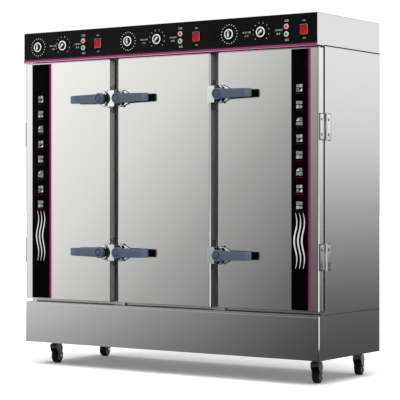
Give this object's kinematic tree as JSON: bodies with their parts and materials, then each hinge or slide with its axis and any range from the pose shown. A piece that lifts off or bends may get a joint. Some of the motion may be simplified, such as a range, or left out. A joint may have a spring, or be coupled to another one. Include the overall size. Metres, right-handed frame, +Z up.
{
  "type": "bun steamer cabinet",
  "caption": "Floor-standing stainless steam cabinet with side by side hinged doors on lever latches, tray racks over water heaters, a knob panel above and swivel casters.",
  "frame": {"origin": "on the floor, under the centre of the whole outline", "axes": "+X to the right along the front, +Y from the doors to the back, +Z up"},
  "size_m": [1.9216, 0.7154, 1.8545],
  "materials": {
    "brushed_steel": "brushed stainless sheet",
    "polished_door_steel": "polished stainless sheet",
    "polished_steel": "polished stainless wire, angle and hinges",
    "chrome": "bright plated casting",
    "black_panel": "glossy black film on sheet",
    "magenta_trim": "glossy magenta moulding",
    "lever_plastic": "moulded blue grey plastic",
    "red_rocker": "glossy red moulded plastic",
    "knob_metal": "plated knob",
    "gasket_rubber": "moulded black silicone",
    "caster_steel": "zinc plated pressed steel",
    "caster_tyre": "moulded black rubber",
    "heater_metal": "annealed steel tube"
  },
  "bodies": {
    "cabinet": {"outer_casing": "brushed_steel", "front_frame": "brushed_steel", "partition_left": "brushed_steel", "partition_right": "brushed_steel", "water_tank": "brushed_steel", "heater_left": "heater_metal", "heater_middle": "heater_metal", "heater_right": "heater_metal", "tray_rack_left": "polished_steel", "tray_rack_middle": "polished_steel", "tray_rack_right": "polished_steel", "base_skirt": "brushed_steel", "header_casing": "brushed_steel", "header_trim": "magenta_trim", "control_panel": "black_panel", "keeper_left_lower": "chrome", "keeper_left_upper": "chrome", "keeper_right_lower": "chrome", "keeper_right_upper": "chrome", "hinge_leaf_left_lower": "polished_steel", "hinge_leaf_left_upper": "polished_steel", "hinge_leaf_right_lower": "polished_steel", "hinge_leaf_right_upper": "polished_steel"},
    "door_left": {"door_shell_left": "polished_door_steel", "door_gasket_left": "gasket_rubber", "latch_base_left_lower": "chrome", "latch_base_left_upper": "chrome", "door_strip_left": "black_panel"},
    "door_middle": {"door_shell_middle": "polished_door_steel", "door_gasket_middle": "gasket_rubber", "latch_base_middle_lower": "chrome", "latch_base_middle_upper": "chrome"},
    "door_right": {"door_shell_right": "polished_door_steel", "door_gasket_right": "gasket_rubber", "latch_base_right_lower": "chrome", "latch_base_right_upper": "chrome", "door_strip_right": "black_panel"},
    "latch_lever_left_lower": {"lever_left_lower": "lever_plastic"},
    "latch_lever_left_upper": {"lever_left_upper": "lever_plastic"},
    "latch_lever_middle_lower": {"lever_middle_lower": "lever_plastic"},
    "latch_lever_middle_upper": {"lever_middle_upper": "lever_plastic"},
    "latch_lever_right_lower": {"lever_right_lower": "lever_plastic"},
    "latch_lever_right_upper": {"lever_right_upper": "lever_plastic"},
    "timer_knob_left": {"knob_timer_left": "knob_metal"},
    "heat_knob_left": {"knob_heat_left": "knob_metal"},
    "timer_knob_middle": {"knob_timer_middle": "knob_metal"},
    "heat_knob_middle": {"knob_heat_middle": "knob_metal"},
    "timer_knob_right": {"knob_timer_right": "knob_metal"},
    "heat_knob_right": {"knob_heat_right": "knob_metal"},
    "power_rocker_left": {"rocker_left": "red_rocker"},
    "power_rocker_middle": {"rocker_middle": "red_rocker"},
    "power_rocker_right": {"rocker_right": "red_rocker"},
    "caster_front_left": {"caster_fork_front_left": "caster_steel"},
    "wheel_front_left": {"caster_wheel_front_left": "caster_tyre"},
    "caster_rear_left": {"caster_fork_rear_left": "caster_steel"},
    "wheel_rear_left": {"caster_wheel_rear_left": "caster_tyre"},
    "caster_front_right": {"caster_fork_front_right": "caster_steel"},
    "wheel_front_right": {"caster_wheel_front_right": "caster_tyre"},
    "caster_rear_right": {"caster_fork_rear_right": "caster_steel"},
    "wheel_rear_right": {"caster_wheel_rear_right": "caster_tyre"}
  },
  "joints": [
    {"name": "door_left_swing", "type": "hinge", "parent": "cabinet", "child": "door_left", "pos_m": [-0.9553, -0.238, 0.372], "axis": [0, 0, -1], "range_deg": [0, 180]},
    {"name": "door_middle_swing", "type": "hinge", "parent": "cabinet", "child": "door_middle", "pos_m": [0.285, -0.28875, 0.372], "axis": [0, 0, 1], "range_deg": [0, 95]},
    {"name": "door_right_swing", "type": "hinge", "parent": "cabinet", "child": "door_right", "pos_m": [0.9553, -0.238, 0.372], "axis": [0, 0, 1], "range_deg": [0, 180]},
    {"name": "latch_left_lower_turn", "type": "hinge", "parent": "door_left", "child": "latch_lever_left_lower", "pos_m": [-0.391, -0.30075, 0.641], "axis": [0, 1, 0], "range_deg": [0, 90]},
    {"name": "latch_left_upper_turn", "type": "hinge", "parent": "door_left", "child": "latch_lever_left_upper", "pos_m": [-0.391, -0.30075, 1.471], "axis": [0, 1, 0], "range_deg": [0, 90]},
    {"name": "latch_middle_lower_turn", "type": "hinge", "parent": "door_middle", "child": "latch_lever_middle_lower", "pos_m": [-0.2715, -0.30075, 0.641], "axis": [0, -1, 0], "range_deg": [0, 90]},
    {"name": "latch_middle_upper_turn", "type": "hinge", "parent": "door_middle", "child": "latch_lever_middle_upper", "pos_m": [-0.2715, -0.30075, 1.471], "axis": [0, -1, 0], "range_deg": [0, 90]},
    {"name": "latch_right_lower_turn", "type": "hinge", "parent": "door_right", "child": "latch_lever_right_lower", "pos_m": [0.3765, -0.30075, 0.641], "axis": [0, -1, 0], "range_deg": [0, 90]},
    {"name": "latch_right_upper_turn", "type": "hinge", "parent": "door_right", "child": "latch_lever_right_upper", "pos_m": [0.3765, -0.30075, 1.471], "axis": [0, -1, 0], "range_deg": [0, 90]},
    {"name": "timer_knob_left_turn", "type": "hinge", "parent": "cabinet", "child": "timer_knob_left", "pos_m": [-0.845, -0.31675, 1.774], "axis": [0, 1, 0], "range_deg": [0, 270]},
    {"name": "heat_knob_left_turn", "type": "hinge", "parent": "cabinet", "child": "heat_knob_left", "pos_m": [-0.668, -0.31675, 1.774], "axis": [0, 1, 0], "range_deg": [0, 270]},
    {"name": "timer_knob_middle_turn", "type": "hinge", "parent": "cabinet", "child": "timer_knob_middle", "pos_m": [-0.219, -0.31675, 1.774], "axis": [0, 1, 0], "range_deg": [0, 270]},
    {"name": "heat_knob_middle_turn", "type": "hinge", "parent": "cabinet", "child": "heat_knob_middle", "pos_m": [-0.027, -0.31675, 1.774], "axis": [0, 1, 0], "range_deg": [0, 270]},
    {"name": "timer_knob_right_turn", "type": "hinge", "parent": "cabinet", "child": "timer_knob_right", "pos_m": [0.429, -0.31675, 1.774], "axis": [0, 1, 0], "range_deg": [0, 270]},
    {"name": "heat_knob_right_turn", "type": "hinge", "parent": "cabinet", "child": "heat_knob_right", "pos_m": [0.621, -0.31675, 1.774], "axis": [0, 1, 0], "range_deg": [0, 270]},
    {"name": "power_rocker_left_tilt", "type": "hinge", "parent": "cabinet", "child": "power_rocker_left", "pos_m": [-0.423, -0.31075, 1.774], "axis": [-1, 0, 0], "range_deg": [0, 16]},
    {"name": "power_rocker_middle_tilt", "type": "hinge", "parent": "cabinet", "child": "power_rocker_middle", "pos_m": [0.225, -0.31075, 1.774], "axis": [-1, 0, 0], "range_deg": [0, 16]},
    {"name": "power_rocker_right_tilt", "type": "hinge", "parent": "cabinet", "child": "power_rocker_right", "pos_m": [0.873, -0.31075, 1.774], "axis": [-1, 0, 0], "range_deg": [0, 16]},
    {"name": "caster_front_left_swivel", "type": "hinge", "parent": "cabinet", "child": "caster_front_left", "pos_m": [-0.85, -0.15775, 0.1257], "axis": [0, 0, 1], "continuous": true},
    {"name": "caster_front_left_roll", "type": "hinge", "parent": "caster_front_left", "child": "wheel_front_left", "pos_m": [-0.85386, -0.14017, 0.0415], "axis": [0.9767, 0.2147, 0], "continuous": true},
    {"name": "caster_rear_left_swivel", "type": "hinge", "parent": "cabinet", "child": "caster_rear_left", "pos_m": [-0.85, 0.28225, 0.1257], "axis": [0, 0, 1], "continuous": true},
    {"name": "caster_rear_left_roll", "type": "hinge", "parent": "caster_rear_left", "child": "wheel_rear_left", "pos_m": [-0.85386, 0.29983, 0.0415], "axis": [0.9767, 0.2147, 0], "continuous": true},
    {"name": "caster_front_right_swivel", "type": "hinge", "parent": "cabinet", "child": "caster_front_right", "pos_m": [0.85, -0.15775, 0.1257], "axis": [0, 0, 1], "continuous": true},
    {"name": "caster_front_right_roll", "type": "hinge", "parent": "caster_front_right", "child": "wheel_front_right", "pos_m": [0.84613, -0.14017, 0.0415], "axis": [0.9767, 0.2147, 0], "continuous": true},
    {"name": "caster_rear_right_swivel", "type": "hinge", "parent": "cabinet", "child": "caster_rear_right", "pos_m": [0.85, 0.28225, 0.1257], "axis": [0, 0, 1], "continuous": true},
    {"name": "caster_rear_right_roll", "type": "hinge", "parent": "caster_rear_right", "child": "wheel_rear_right", "pos_m": [0.84613, 0.29983, 0.0415], "axis": [0.9767, 0.2147, 0], "continuous": true}
  ]
}
